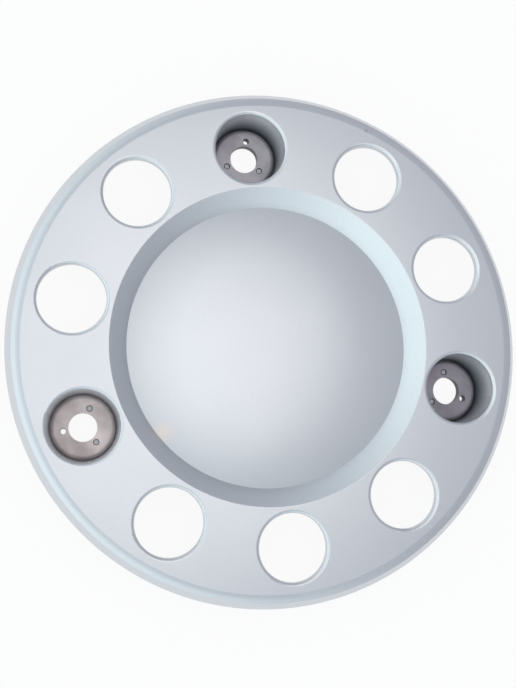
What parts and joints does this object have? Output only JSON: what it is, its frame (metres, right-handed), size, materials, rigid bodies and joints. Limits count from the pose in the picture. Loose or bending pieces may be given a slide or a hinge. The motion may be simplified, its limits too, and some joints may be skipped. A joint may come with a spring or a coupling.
{
  "type": "wheel cover",
  "caption": "Silver dish-shaped truck wheel cover: flat ring with round nut holes, recessed domed middle and deep fixing pockets with pressed steel cups.",
  "frame": {"origin": "on the wheel's axis, at the level of the three pocket floors' undersides, which seat on the wheel", "axes": "+Z along the wheel's axis towards the shown face, +Y through the middle one of the three pockets"},
  "size_m": [0.433, 0.433, 0.0425],
  "materials": {
    "silver_paint": "satin metallic silver paint on moulded plastic",
    "cup_steel": "bare pressed steel, dull"
  },
  "bodies": {
    "root": {"cover_shell": "silver_paint", "fixing_cup_1": "cup_steel", "fixing_cup_2": "cup_steel", "fixing_cup_3": "cup_steel"}
  },
  "joints": []
}
